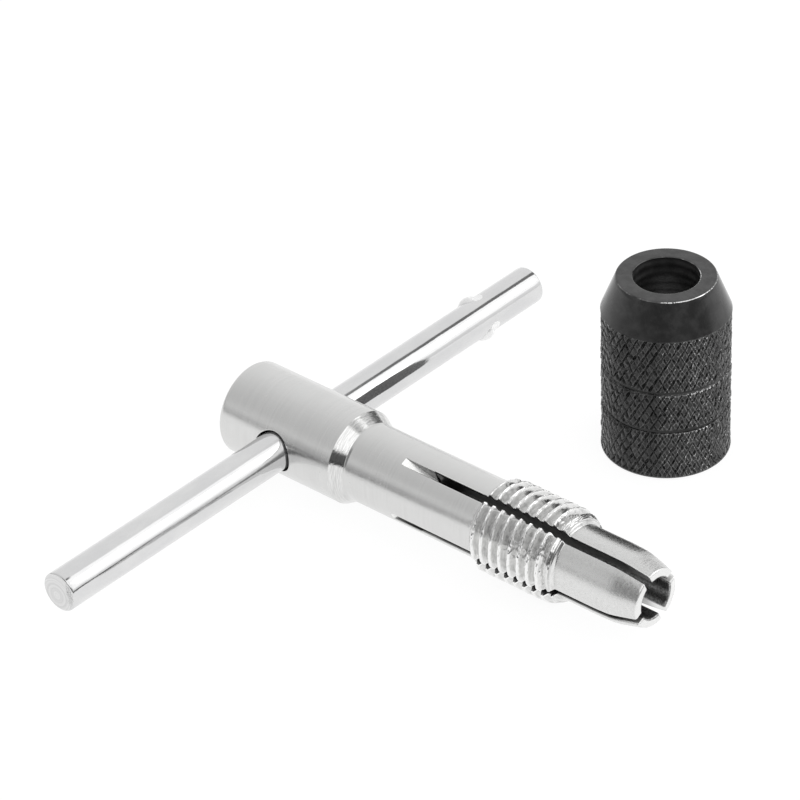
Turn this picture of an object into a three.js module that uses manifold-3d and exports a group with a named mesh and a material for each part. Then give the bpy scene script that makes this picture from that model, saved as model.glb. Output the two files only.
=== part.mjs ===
// T-handle tap wrench: a turned spindle with a four-jaw split collet, a sliding tommy bar
// and a knurled chuck nut that stands beside it. Millimetres, +Z up.
// The spindle lies along X on the surface z = 0, its collet toward +X; the bar lies along Y.

import * as THREE from 'three';
import { mergeVertices } from 'three/addons/utils/BufferGeometryUtils.js';
import Module from 'manifold-3d';

const wasm = await Module();
wasm.setup();

// ---- spindle: stations are distances from its back end ----
const SPINDLE_LENGTH = 63.5;
const HEAD_R = 6.0;
const HEAD_EDGE = 0.7;
const HEAD_END = 18.0;
const SHOULDER_MID = 19.4;
const SHOULDER_MID_R = 5.3;
const SHOULDER_END = 20.2;
const SHANK_R = 5.0;
const CROSS_HOLE_AT = 9.0;
const CROSS_HOLE_R = 2.75;
const THREAD_START = 39.5;
const THREAD_END = 51.7;
const NOSE_START = 52.1;
const NOSE_R = 4.65;
const TAPER_START = 60.0;
const TIP_R = 3.7;
const BORE_R = 2.6;
const BORE_END = 29.0;
const DRILL_POINT = 1.5;

// ---- thread of 12 mm diameter and 1.4 mm pitch ----
const PITCH = 1.4;
const MAJOR_R = 6.0;
const MINOR_R = 5.1;
const TOOTH_CREST_HALF = 0.12;
const TOOTH_FOOT_HALF = 0.62;
const TOOTH_SINK = 0.1;
const THREAD_CLEAR = 0.08;
const THREAD_CHAMFER = 1.0;
const THREAD_LEAD = 2.4;
const THREAD_STEPS = 24;

// ---- saw slots that split the collet into jaws ----
const SLOT_WIDTH = 1.0;
const SLOT_START = 27.0;
const SAW_R = 31.5;
const SLOT_ANGLE = 25;
const JAW_COUNT = 4;
const JAW_ROOT = 31.5;
const PIECE_GAP = 0.3;

// ---- tommy bar ----
const BAR_R = 2.5;
const BAR_LENGTH = 85;
const BAR_CHAMFER = 0.25;
const EAR_FROM_END = 10.2;
const EAR_ANGLES = [135, 315];
const EAR_HEIGHT = 0.5;
const EAR_HALF_LENGTH = 1.7;
const EAR_HALF_WIDTH = 1.1;
const EAR_SINK = 1.2;
const NOTCH_SLOPE = 20;
const NOTCH_SIZE = 1.6;
const NOTCH_BITE = 0.2;

// ---- chuck nut, standing on its base: heights are above the base ----
const NUT_X = 7.6;
const NUT_Y = 32.4;
const NUT_R = 8.0;
const NUT_HEIGHT = 24.4;
const NUT_BASE_EDGE = 0.4;
const NUT_CONE_START = 19.8;
const NUT_NOSE_R = 6.15;
const NUT_ENTRY_R = 6.4;
const NUT_ENTRY_DEPTH = 1.2;
const NUT_BORE_R = 5.25;
const NUT_THREAD_END = 12.0;
const NUT_RELIEF_R = 6.2;
const NUT_RELIEF_END = 16.2;
const NUT_SEAT_R = 5.2;
const NUT_SEAT_START = 18.0;
const NUT_MOUTH_R = 4.1;
const NUT_MOUTH_START = 22.0;
const GROOVES_AT = [6.75, 12.3];
const GROOVE_WIDTH = 0.45;
const GROOVE_DEPTH = 0.35;

const ROUND_STEPS = 40;
const NUT_STEPS = 48;
const BORE_STEPS = 28;
const OVERRUN = 2;

// ---- materials ----
function satinSteel() {
  return new THREE.MeshStandardMaterial({ color: 0xc3c5c6, roughness: 0.36, metalness: 1 });
}

function chrome() {
  return new THREE.MeshStandardMaterial({ color: 0xe2e4e5, roughness: 0.1, metalness: 1 });
}

function blackOxide() {
  return new THREE.MeshStandardMaterial({ color: 0x2a2b2d, roughness: 0.45, metalness: 0.9 });
}

// ---- joining and cutting ----
function solidOf(geometry) {
  const bare = geometry.clone();
  bare.deleteAttribute('normal');
  bare.deleteAttribute('uv');
  const merged = mergeVertices(bare, 1e-5);
  const vertProperties = Float32Array.from(merged.attributes.position.array);
  const triVerts = Uint32Array.from(merged.index.array);
  return new wasm.Manifold(new wasm.Mesh({ numProp: 3, vertProperties, triVerts }));
}

function geometryOf(solid) {
  const mesh = solid.getMesh();
  const geometry = new THREE.BufferGeometry();
  geometry.setAttribute('position', new THREE.BufferAttribute(mesh.vertProperties, 3));
  geometry.setIndex(new THREE.BufferAttribute(mesh.triVerts, 1));
  geometry.computeVertexNormals();
  return geometry;
}

function named(name, solid, material) {
  const mesh = new THREE.Mesh(geometryOf(solid), material);
  mesh.name = name;
  return mesh;
}

// ---- basic shapes ----
function boxBetween(low, high) {
  const size = high.map((value, axis) => value - low[axis]);
  const geometry = new THREE.BoxGeometry(...size);
  geometry.translate(...low.map((value, axis) => value + size[axis] / 2));
  return geometry;
}

// A turned piece about +Z from [radius, height] points that start and end on the axis.
function turned(points, steps) {
  const outline = points.map(([radius, height]) => new THREE.Vector2(radius, height));
  const geometry = new THREE.LatheGeometry(outline, steps);
  geometry.rotateX(Math.PI / 2);
  return geometry;
}

// The same about +X.
function turnedAlongX(points, steps) {
  const geometry = turned(points, steps);
  geometry.rotateY(Math.PI / 2);
  return geometry;
}

// A right-hand thread ridge about +Z: one tooth section carried up a helix from z = low.
function threadRidge(footR, crestR, low, turns) {
  const section = new THREE.Shape();
  section.moveTo(-TOOTH_FOOT_HALF, footR);
  section.lineTo(TOOTH_FOOT_HALF, footR);
  section.lineTo(TOOTH_CREST_HALF, crestR);
  section.lineTo(-TOOTH_CREST_HALF, crestR);
  section.closePath();
  const steps = turns * THREAD_STEPS;
  const geometry = new THREE.ExtrudeGeometry(section, { steps, depth: turns, bevelEnabled: false });
  const place = geometry.attributes.position;
  for (let i = 0; i < place.count; i += 1) {
    const turn = place.getZ(i);
    const radius = place.getY(i);
    const angle = 2 * Math.PI * turn;
    const height = low + place.getX(i) + PITCH * turn;
    place.setXYZ(i, radius * Math.cos(angle), radius * Math.sin(angle), height);
  }
  return geometry;
}

// The room a thread fills between two heights: a short chamfer below, and a lead of its own length above.
function threadRoom(low, high, lead) {
  const outside = MAJOR_R + THREAD_CLEAR + TOOTH_SINK;
  const inside = MINOR_R - TOOTH_SINK;
  return turned([
    [0, low],
    [inside, low],
    [outside, low + THREAD_CHAMFER],
    [outside, high - lead],
    [inside, high],
    [0, high],
  ], ROUND_STEPS);
}

// ---- spindle with its collet, turned, drilled, threaded and sawn ----
function spindleBlank() {
  return solidOf(turnedAlongX([
    [0, 0],
    [HEAD_R - HEAD_EDGE, 0],
    [HEAD_R - HEAD_EDGE / 4, HEAD_EDGE / 4],
    [HEAD_R, HEAD_EDGE],
    [HEAD_R, HEAD_END],
    [SHOULDER_MID_R, SHOULDER_MID],
    [SHANK_R, SHOULDER_END],
    [SHANK_R, THREAD_START],
    [MINOR_R, THREAD_START + THREAD_CHAMFER / 2],
    [MINOR_R, THREAD_END],
    [NOSE_R, NOSE_START],
    [NOSE_R, TAPER_START],
    [TIP_R, SPINDLE_LENGTH],
    [0, SPINDLE_LENGTH],
  ], ROUND_STEPS));
}

function outerThread() {
  const turns = Math.ceil((THREAD_END - THREAD_START) / PITCH) + 2;
  const ridge = threadRidge(MINOR_R - TOOTH_SINK, MAJOR_R, THREAD_START - PITCH, turns);
  const room = threadRoom(THREAD_START, THREAD_END, THREAD_LEAD);
  ridge.rotateY(Math.PI / 2);
  room.rotateY(Math.PI / 2);
  return solidOf(ridge).intersect(solidOf(room));
}

function colletBore() {
  return solidOf(turnedAlongX([
    [0, BORE_END - DRILL_POINT],
    [BORE_R, BORE_END],
    [BORE_R, SPINDLE_LENGTH + OVERRUN],
    [0, SPINDLE_LENGTH + OVERRUN],
  ], BORE_STEPS));
}

function crossHole() {
  const geometry = new THREE.CylinderGeometry(
    CROSS_HOLE_R, CROSS_HOLE_R, 2 * (HEAD_R + OVERRUN), BORE_STEPS,
  );
  geometry.translate(CROSS_HOLE_AT, 0, 0);
  return solidOf(geometry);
}

// One saw cut down to the axis: the round saw leaves a ramp where it comes out of the shank.
function sawCut(angle) {
  const outside = HEAD_R + OVERRUN;
  const centre = SLOT_START + Math.sqrt(SAW_R ** 2 - (SAW_R - SHANK_R) ** 2);
  const surface = Math.PI + Math.asin((SAW_R - outside) / SAW_R);
  const side = new THREE.Shape();
  side.moveTo(centre + SAW_R * Math.cos(surface), outside);
  side.absarc(centre, SAW_R, SAW_R, surface, 1.5 * Math.PI, false);
  side.lineTo(SPINDLE_LENGTH + OVERRUN, 0);
  side.lineTo(SPINDLE_LENGTH + OVERRUN, outside);
  side.closePath();
  const cut = { depth: SLOT_WIDTH, bevelEnabled: false, curveSegments: BORE_STEPS };
  const geometry = new THREE.ExtrudeGeometry(side, cut);
  geometry.translate(0, 0, -SLOT_WIDTH / 2);
  geometry.rotateX(THREE.MathUtils.degToRad(angle));
  return solidOf(geometry);
}

function wholeSpindle() {
  let solid = spindleBlank().add(outerThread());
  solid = solid.subtract(colletBore()).subtract(crossHole());
  for (let i = 0; i < JAW_COUNT; i += 1) {
    solid = solid.subtract(sawCut(SLOT_ANGLE + (i * 360) / JAW_COUNT));
  }
  return solid;
}

function headAndShank(whole) {
  const reach = HEAD_R + OVERRUN;
  const room = boxBetween([-OVERRUN, -reach, -reach], [JAW_ROOT - PIECE_GAP / 2, reach, reach]);
  return whole.intersect(solidOf(room));
}

function jaw(whole, index) {
  const reach = HEAD_R + OVERRUN;
  const far = SPINDLE_LENGTH + OVERRUN;
  const room = boxBetween([JAW_ROOT + PIECE_GAP / 2, 0, 0], [far, reach, reach]);
  room.rotateX(THREE.MathUtils.degToRad(SLOT_ANGLE + (index * 360) / JAW_COUNT));
  return whole.intersect(solidOf(room));
}

// ---- tommy bar along Y with two swaged ears near one end ----
function ear(angle) {
  const geometry = new THREE.SphereGeometry(1, 16, 10);
  const radial = EAR_HEIGHT + EAR_SINK;
  geometry.scale(radial, EAR_HALF_LENGTH, EAR_HALF_WIDTH);
  geometry.translate(BAR_R - EAR_SINK, BAR_LENGTH / 2 - EAR_FROM_END, 0);
  geometry.rotateY(-THREE.MathUtils.degToRad(angle));
  return solidOf(geometry);
}

// The flat left by the chisel that raised the ear, on the side of the bar's end.
function earNotch(angle) {
  const geometry = new THREE.BoxGeometry(NOTCH_SIZE, 2 * NOTCH_SIZE, 2 * NOTCH_SIZE);
  geometry.rotateZ(THREE.MathUtils.degToRad(NOTCH_SLOPE));
  const out = BAR_R + NOTCH_SIZE / 2 - NOTCH_BITE;
  geometry.translate(out, BAR_LENGTH / 2 - EAR_FROM_END + NOTCH_SIZE, 0);
  geometry.rotateY(-THREE.MathUtils.degToRad(angle));
  return solidOf(geometry);
}

function tommyBar() {
  const rod = turned([
    [0, -BAR_LENGTH / 2],
    [BAR_R - BAR_CHAMFER, -BAR_LENGTH / 2],
    [BAR_R, -BAR_LENGTH / 2 + BAR_CHAMFER],
    [BAR_R, BAR_LENGTH / 2 - BAR_CHAMFER],
    [BAR_R - BAR_CHAMFER, BAR_LENGTH / 2],
    [0, BAR_LENGTH / 2],
  ], BORE_STEPS);
  rod.rotateX(-Math.PI / 2);
  let solid = solidOf(rod);
  for (const angle of EAR_ANGLES) {
    solid = solid.add(ear(angle)).subtract(earNotch(angle));
  }
  return solid;
}

// ---- chuck nut about +Z ----
function nutOutside() {
  const points = [
    [0, 0],
    [NUT_R - NUT_BASE_EDGE, 0],
    [NUT_R, NUT_BASE_EDGE],
  ];
  for (const height of GROOVES_AT) {
    points.push([NUT_R, height - GROOVE_WIDTH / 2]);
    points.push([NUT_R - GROOVE_DEPTH, height - GROOVE_WIDTH / 4]);
    points.push([NUT_R - GROOVE_DEPTH, height + GROOVE_WIDTH / 4]);
    points.push([NUT_R, height + GROOVE_WIDTH / 2]);
  }
  points.push([NUT_R, NUT_CONE_START], [NUT_NOSE_R, NUT_HEIGHT], [0, NUT_HEIGHT]);
  return solidOf(turned(points, NUT_STEPS));
}

// Entry, threaded bore, thread relief, tapered seat for the jaws, and mouth.
function nutInside() {
  const bore = solidOf(turned([
    [0, -OVERRUN],
    [NUT_ENTRY_R, -OVERRUN],
    [NUT_ENTRY_R, 0],
    [NUT_BORE_R, NUT_ENTRY_DEPTH],
    [NUT_BORE_R, NUT_THREAD_END],
    [NUT_RELIEF_R, NUT_THREAD_END + THREAD_CHAMFER],
    [NUT_RELIEF_R, NUT_RELIEF_END],
    [NUT_SEAT_R, NUT_RELIEF_END + THREAD_CHAMFER],
    [NUT_SEAT_R, NUT_SEAT_START],
    [NUT_MOUTH_R, NUT_MOUTH_START],
    [NUT_MOUTH_R, NUT_HEIGHT + OVERRUN],
    [0, NUT_HEIGHT + OVERRUN],
  ], ROUND_STEPS));
  const turns = Math.ceil(NUT_THREAD_END / PITCH) + 2;
  const ridge = threadRidge(NUT_BORE_R - TOOTH_SINK, MAJOR_R + THREAD_CLEAR, -PITCH, turns);
  const room = threadRoom(-THREAD_CHAMFER, NUT_THREAD_END + THREAD_CHAMFER, THREAD_CHAMFER);
  return bore.add(solidOf(ridge).intersect(solidOf(room)));
}

function chuckNut() {
  return nutOutside().subtract(nutInside());
}

// ---- assembly ----
const wrench = new THREE.Group();
const spindle = new THREE.Group();
spindle.position.set(-SPINDLE_LENGTH / 2, 0, HEAD_R);
wrench.add(spindle);

const whole = wholeSpindle();
spindle.add(named('spindle', headAndShank(whole), satinSteel()));
for (let i = 0; i < JAW_COUNT; i += 1) {
  spindle.add(named(`jaw_${i + 1}`, jaw(whole, i), satinSteel()));
}

const bar = named('tommy_bar', tommyBar(), chrome());
bar.position.set(CROSS_HOLE_AT, 0, 0);
spindle.add(bar);

const nut = named('chuck_nut', chuckNut(), blackOxide());
nut.position.set(NUT_X, NUT_Y, 0);
wrench.add(nut);

export default wrench;
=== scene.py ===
"""T-handle tap wrench: satin steel spindle with a split threaded collet, bright tommy bar,
and a black knurled chuck nut that stands beside it. Shapes are worked out in millimetres."""

import math

import bmesh
import bpy
import numpy as np
from mathutils import Matrix, Vector


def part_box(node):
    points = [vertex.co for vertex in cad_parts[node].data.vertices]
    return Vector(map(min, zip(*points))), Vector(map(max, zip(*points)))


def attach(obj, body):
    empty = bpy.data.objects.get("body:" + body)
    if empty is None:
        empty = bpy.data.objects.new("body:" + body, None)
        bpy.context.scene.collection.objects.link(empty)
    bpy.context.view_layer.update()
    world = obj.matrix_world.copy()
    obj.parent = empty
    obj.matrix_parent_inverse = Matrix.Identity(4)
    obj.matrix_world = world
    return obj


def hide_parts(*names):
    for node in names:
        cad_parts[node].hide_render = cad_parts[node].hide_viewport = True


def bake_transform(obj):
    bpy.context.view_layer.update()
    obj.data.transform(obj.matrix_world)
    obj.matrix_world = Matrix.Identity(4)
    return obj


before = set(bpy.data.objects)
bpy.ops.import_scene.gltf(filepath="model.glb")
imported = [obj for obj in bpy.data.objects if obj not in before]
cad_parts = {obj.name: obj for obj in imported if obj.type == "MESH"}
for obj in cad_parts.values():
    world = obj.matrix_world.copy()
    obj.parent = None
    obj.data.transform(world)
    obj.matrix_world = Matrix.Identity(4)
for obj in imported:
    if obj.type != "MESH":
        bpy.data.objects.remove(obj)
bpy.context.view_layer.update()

MM = 0.001

# ---- sizes in millimetres. Spindle stations are measured from the back of its head ----
HEAD_R = 6.0
HEAD_EDGE = 0.7
HEAD_END = 18.0
SHOULDER_MID = 19.6
SHOULDER_R = 5.08
SHOULDER_END = 20.0
SHANK_R = 5.0
HOLE_R = 2.75
HOLE_EDGE = 0.1
THREAD_START = 39.5
THREAD_END = 51.7
THREAD_CHAMFER = 1.0
THREAD_LEAD = 1.7
NOSE_START = 52.1
NOSE_R = 4.65
TAPER_START = 60.0
TIP_R = 3.7
LENGTH = 63.5
TIP_EDGE = 0.2
BORE_R = 2.6
BORE_END = 29.0
DRILL_POINT = 1.5
PITCH = 1.4
CREST_AT = 38.1
CREST_R = 5.97
ROOT_R = 5.1
TOOTH_FLAT = 0.22
TOOTH_FLANK = 0.56
GALLED_AT = (47.4, 158.0)
GALLED_REACH = (1.8, 26.0)
SLOT_HALF = 0.5
SLOT_EDGE = 0.1
SLOT_START = 27.0
SLOT_ANGLE = 25.0
SAW_R = 31.5
JAW_SEAM = 31.45
BAR_R = 2.5
BAR_CHAMFER = 0.22
EAR_FROM_END = 10.2
EARS = ((135.0, -1), (315.0, 1))
EAR_HEIGHT = 0.5
EAR_HALF_LENGTH = 1.3
EAR_HALF_WIDTH = 1.7
PINCH_AT = 0.8
PINCH_ASIDE = 1.2
PINCH_HALF_LENGTH = 0.75
PINCH_HALF_WIDTH = 0.7
PINCH_DEPTH = 0.08
NUT_R = 8.0
NUT_BASE_EDGE = 0.4
NUT_CONE_START = 19.8
NUT_NOSE_R = 6.15
NUT_MINOR_R = 5.25
NUT_MAJOR_R = 6.05
NUT_ENTRY_R = 6.4
NUT_ENTRY_DEPTH = 1.2
NUT_THREAD_END = 12.0
NUT_RELIEF_R = 6.2
NUT_RELIEF_END = 16.2
NUT_SEAT_R = 5.2
NUT_SEAT_START = 18.0
NUT_MOUTH_R = 4.1
NUT_MOUTH_START = 22.0
GROOVES_AT = (6.75, 12.3)
GROOVE_HALF = 0.32
GROOVE_DEPTH = 0.42
KNURL_COUNT = 46
KNURL_HEIGHT = 1.95
KNURL_STEPS = 18
KNURL_HALF_GAP = 0.20
KNURL_DEPTH = 0.34
MOUTH_RING = 1.25
MOUTH_RING_DEPTH = 0.03
# bearing of the side where the nut's painted highlights gather
PAINTED_HIGHLIGHT_SIDE = -8.0

# ---- how the surfaces are divided ----
JAWS = 4
# Degrees of a rounded edge's steps.
ROUNDING = (30, 60, 90)
ARC_COLUMNS = 22
# Distances from a saw cut's middle plane of the points across it, and how far up its wall each one is.
# The first and last are outside the cut.
CUT_SIDES = (-0.57, -0.5, -0.495, -0.485, -0.47, -0.2, 0.2, 0.47, 0.485, 0.495, 0.5, 0.57)
CUT_SHARE = (None, 1.0, 0.6, 0.3, 0.0, 0.0, 0.0, 0.0, 0.3, 0.6, 1.0, None)
# Places in a section whose faces are the floor of a cut.
FLOOR_PLACES = range(4, 7)
JAW_COLUMNS = 76
WALL_ROWS = 6
BORE_COLUMNS = 18
BLIND_BORE_R = 2.57
# The gap left in the head for the cross hole: half its length, half its angle, and rings in it.
GAP_REACH = 4.0
GAP_SPREAD = 40.0
GAP_SHARES = (0.8, 0.6, 0.42, 0.27, 0.15, 0.06, 0.0)
BAR_COLUMNS = 192

# ---- places in each piece's list of materials ----
STEEL, SAWN = 0, 1
RAMP, SHOULDER = 2, 3
BORED, THREADED, NOSE = 2, 3, 4
DRAWN, FACED = 0, 1
KNURLED, BLACKED, MOUTH = 0, 1, 2

# ---- the camera: angles in degrees, lengths in millimetres ----
CAMERA_AZIMUTH = 42.28
CAMERA_ELEVATION = 33.9
CAMERA_ROLL = -2.02
CAMERA_DISTANCE = 541.7
CAMERA_AIM = (11.71, 3.38)
CAMERA_LENS = 200.07
SENSOR_WIDTH = 36
FLOOR_HALF_M = 3.0

# ---- places, from the frame ----
BACK_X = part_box("spindle")[0][0] / MM
AXIS_Z = (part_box("spindle")[0][2] + HEAD_R * MM) / MM
BAR_X = (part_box("tommy_bar")[0][0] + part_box("tommy_bar")[1][0]) / 2 / MM
BAR_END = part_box("tommy_bar")[1][1] / MM
NUT_X = (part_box("chuck_nut")[0][0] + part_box("chuck_nut")[1][0]) / 2 / MM
NUT_Y = (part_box("chuck_nut")[0][1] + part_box("chuck_nut")[1][1]) / 2 / MM
NUT_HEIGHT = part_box("chuck_nut")[1][2] / MM
HOLE_AT = BAR_X - BACK_X


# ---- small helpers ----
def smooth(low, high, value):
    """0 below low, 1 above high, and a smooth rise between them."""
    t = np.clip((value - low) / (high - low), 0, 1)
    return t * t * (3 - 2 * t)


def grain(across, around, seed):
    """Smooth random field from -1 to 1. It has one cell a unit, and around wraps every 64."""
    field = np.random.RandomState(seed).uniform(-1, 1, (256, 64))
    column = np.floor(across).astype(int)
    row = np.floor(around).astype(int)
    fx = across - column
    fy = around - row
    fx = fx * fx * (3 - 2 * fx)
    fy = fy * fy * (3 - 2 * fy)
    low = field[column % 256, row % 64] * (1 - fx) + field[(column + 1) % 256, row % 64] * fx
    high = field[column % 256, (row + 1) % 64] * (1 - fx) + field[(column + 1) % 256, (row + 1) % 64] * fx
    return low * (1 - fy) + high * fy


def stations(*stretches):
    """Values through stretches of (start, end, step), each once."""
    out = []
    for start, end, step in stretches:
        count = max(1, round(abs(end - start) / step))
        out.extend(np.linspace(start, end, count, endpoint=False))
    out.append(stretches[-1][1])
    return np.array(out)


def grid_faces(rows, columns):
    """Faces over a grid of points whose columns go all the way round."""
    faces = []
    for i in range(rows - 1):
        for j in range(columns):
            a = i * columns + j
            b = i * columns + (j + 1) % columns
            faces.append((a, b, b + columns, a + columns))
    return faces


def end_faces(rows, columns):
    """One flat face on each end of such a grid."""
    last = (rows - 1) * columns
    return [tuple(reversed(range(columns))), tuple(last + j for j in range(columns))]


def mesh_object(name, points, faces, materials, kinds=None, highlight_and_wear=None, sharp=32.0):
    """A smooth-shaded object from points in millimetres. kinds gives each face's material."""
    mesh = bpy.data.meshes.new(name)
    mesh.from_pydata((np.asarray(points, float) * MM).tolist(), [], faces)
    for material in materials:
        mesh.materials.append(material)
    if kinds is not None:
        mesh.polygons.foreach_set("material_index", np.asarray(kinds, np.int32))
    if highlight_and_wear is not None:
        # the wear attribute carries real wear and painted highlights
        wear_and_highlight = mesh.attributes.new("wear_and_highlight", "FLOAT", "POINT")
        wear_and_highlight.data.foreach_set("value", np.asarray(highlight_and_wear, np.float32).ravel())
    mesh.shade_smooth()
    mesh.set_sharp_from_angle(angle=math.radians(sharp))
    obj = bpy.data.objects.new(name, mesh)
    bpy.context.scene.collection.objects.link(obj)
    return obj


def face_outwards(obj):
    """Turns every face of a closed mesh outwards."""
    work = bmesh.new()
    work.from_mesh(obj.data)
    bmesh.ops.remove_doubles(work, verts=work.verts, dist=1e-8)
    bmesh.ops.recalc_face_normals(work, faces=work.faces)
    work.to_mesh(obj.data)
    work.free()


def grey(level, warmth=0.0):
    """A grey. Its blue is lower by warmth."""
    return (level, level, level - warmth)


# ---- node helpers ----
class Nodes:
    """Adds nodes to a tree, with sockets or plain values as their inputs."""

    def __init__(self, tree):
        self.tree = tree
        tree.nodes.clear()

    def add(self, kind, inputs=None, **settings):
        """A new node of this kind."""
        node = self.tree.nodes.new(kind)
        for key, value in settings.items():
            setattr(node, key, value)
        for key, value in (inputs or {}).items():
            if isinstance(value, bpy.types.NodeSocket):
                self.tree.links.new(value, node.inputs[key])
            else:
                node.inputs[key].default_value = value
        return node

    def maths(self, operation, a, b=0.0, clamp=False):
        """One arithmetic step."""
        node = self.add("ShaderNodeMath", {0: a, 1: b}, operation=operation, use_clamp=clamp)
        return node.outputs[0]

    def span(self, value, low, high, out_low=0.0, out_high=1.0):
        """value from low..high to out_low..out_high, with smooth ends."""
        inputs = {"Value": value, "From Min": low, "From Max": high, "To Min": out_low, "To Max": out_high}
        node = self.add("ShaderNodeMapRange", inputs, interpolation_type="SMOOTHSTEP")
        return node.outputs[0]

    def place(self):
        """Object coordinates in millimetres."""
        source = self.add("ShaderNodeTexCoord").outputs["Object"]
        inputs = {0: source, 3: 1 / MM}
        return self.add("ShaderNodeVectorMath", inputs, operation="SCALE").outputs[0]

    def noise(self, place, scales, detail=3.0, roughness=0.55):
        """Noise that is stretched by a scale along each axis."""
        inputs = {0: place, 1: scales}
        stretched = self.add("ShaderNodeVectorMath", inputs, operation="MULTIPLY").outputs[0]
        inputs = {"Vector": stretched, "Scale": 1.0, "Detail": detail, "Roughness": roughness}
        return self.add("ShaderNodeTexNoise", inputs).outputs["Fac"]

    def mix(self, factor, a, b):
        """Colour a to colour b."""
        node = self.add("ShaderNodeMix", {0: factor}, data_type="RGBA")
        for socket, value in ((node.inputs[6], a), (node.inputs[7], b)):
            if isinstance(value, bpy.types.NodeSocket):
                self.tree.links.new(value, socket)
            else:
                socket.default_value = (*value, 1.0)
        return node.outputs[2]

    def bump(self, height, depth_mm, normal=None):
        """A bump of this depth in millimetres."""
        inputs = {"Height": height, "Distance": depth_mm * MM, "Strength": 1.0}
        if normal is not None:
            inputs["Normal"] = normal
        return self.add("ShaderNodeBump", inputs).outputs[0]


def start_material(name):
    """An empty material and its nodes."""
    material = bpy.data.materials.new(name)
    material.use_nodes = True
    return material, Nodes(material.node_tree)


def finish_material(material, nodes, inputs):
    """Ends a material in one Principled surface."""
    surface = nodes.add("ShaderNodeBsdfPrincipled", inputs)
    nodes.add("ShaderNodeOutputMaterial", {"Surface": surface.outputs[0]})
    return material


# ---- materials ----
def satin_steel():
    """Turned and polished steel, with faint turning marks round the X axis and a fine grain."""
    material, nodes = start_material("satin_steel")
    place = nodes.place()
    turning = nodes.noise(place, (7.0, 0.10, 0.10), 4.0)
    polish = nodes.noise(place, (0.5, 3.0, 3.0), 3.0)
    grit = nodes.noise(place, (5.0, 5.0, 5.0), 3.0)
    patches = nodes.noise(place, (0.35, 0.35, 0.35), 2.0)
    wear_and_highlight = nodes.add("ShaderNodeAttribute", attribute_name="wear_and_highlight").outputs["Fac"]
    tone = nodes.mix(nodes.span(turning, 0.3, 0.7), grey(0.655, 0.005), grey(0.695, 0.005))
    tone = nodes.mix(nodes.span(patches, 0.35, 0.7, 0.0, 0.4), tone, grey(0.70, 0.005))
    # lighter where the wear attribute is high: painted highlights on the slot edges
    tone = nodes.mix(wear_and_highlight, tone, grey(0.88, 0.005))
    rough = nodes.span(polish, 0.3, 0.7, 0.19, 0.25)
    rough = nodes.maths("ADD", rough, nodes.span(turning, 0.35, 0.7, 0.0, 0.03))
    marks = nodes.bump(turning, 0.0014)
    marks = nodes.bump(polish, 0.0006, marks)
    marks = nodes.bump(grit, 0.0022, marks)
    return finish_material(material, nodes, {
        "Base Color": tone, "Metallic": 1.0, "Roughness": rough, "Normal": marks})


def turned_steel():
    """The shoulder, where the tool's marks are left bright."""
    material, nodes = start_material("turned_steel")
    place = nodes.place()
    turning = nodes.noise(place, (8.0, 0.6, 0.6), 4.0, 0.65)
    streaks = nodes.noise(place, (12.0, 2.6, 2.6), 3.0, 0.6)
    tone = nodes.mix(nodes.span(turning, 0.35, 0.65), grey(0.62, 0.005), grey(0.76, 0.005))
    rough = nodes.span(streaks, 0.3, 0.7, 0.08, 0.14)
    marks = nodes.bump(turning, 0.016, nodes.bump(streaks, 0.010))
    return finish_material(material, nodes, {
        "Base Color": tone, "Metallic": 1.0, "Roughness": rough, "Normal": marks})


def nose_steel():
    """The collet's nose: the same steel but duller and grainy, with turning marks on its taper."""
    material, nodes = start_material("nose_steel")
    place = nodes.place()
    grit = nodes.noise(place, (3.6, 3.6, 3.6), 4.0, 0.65)
    turning = nodes.noise(place, (4.0, 0.6, 0.6), 3.0)
    x = nodes.add("ShaderNodeSeparateXYZ", {0: place}).outputs[0]
    on_taper = nodes.span(x, BACK_X + TAPER_START - 1.5, BACK_X + TAPER_START + 1.5, 0.15, 1.0)
    wear_and_highlight = nodes.add("ShaderNodeAttribute", attribute_name="wear_and_highlight").outputs["Fac"]
    tone = nodes.mix(nodes.span(grit, 0.3, 0.7), grey(0.66, 0.005), grey(0.76, 0.005))
    # lighter where the wear attribute is high: painted highlights on the slot edges and the rounded tip
    tone = nodes.mix(wear_and_highlight, tone, grey(0.92, 0.005))
    rough = nodes.span(grit, 0.3, 0.7, 0.25, 0.33)
    marks = nodes.bump(nodes.maths("MULTIPLY", turning, on_taper), 0.030, nodes.bump(grit, 0.016))
    return finish_material(material, nodes, {
        "Base Color": tone, "Metallic": 1.0, "Roughness": rough, "Normal": marks})


def threaded_steel():
    """The collet's thread: bright galled crests, and duller flanks with fine tearing along the helix."""
    material, nodes = start_material("threaded_steel")
    place = nodes.place()
    tearing = nodes.noise(place, (8.0, 0.7, 0.7), 5.0, 0.65)
    dirt = nodes.noise(place, (1.6, 0.8, 0.8), 3.0)
    wear_and_highlight = nodes.add("ShaderNodeAttribute", attribute_name="wear_and_highlight").outputs["Fac"]
    tone = nodes.mix(nodes.span(tearing, 0.3, 0.7), grey(0.62, 0.005), grey(0.82, 0.005))
    tone = nodes.mix(nodes.span(dirt, 0.55, 0.75, 0.0, 0.5), tone, grey(0.34))
    # lighter where the wear attribute is high: galled crests, and painted highlights on the slot edges
    tone = nodes.mix(wear_and_highlight, tone, grey(0.94, 0.005))
    rough = nodes.span(tearing, 0.3, 0.7, 0.10, 0.22)
    marks = nodes.bump(tearing, 0.018)
    return finish_material(material, nodes, {
        "Base Color": tone, "Metallic": 1.0, "Roughness": rough, "Normal": marks})


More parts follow.
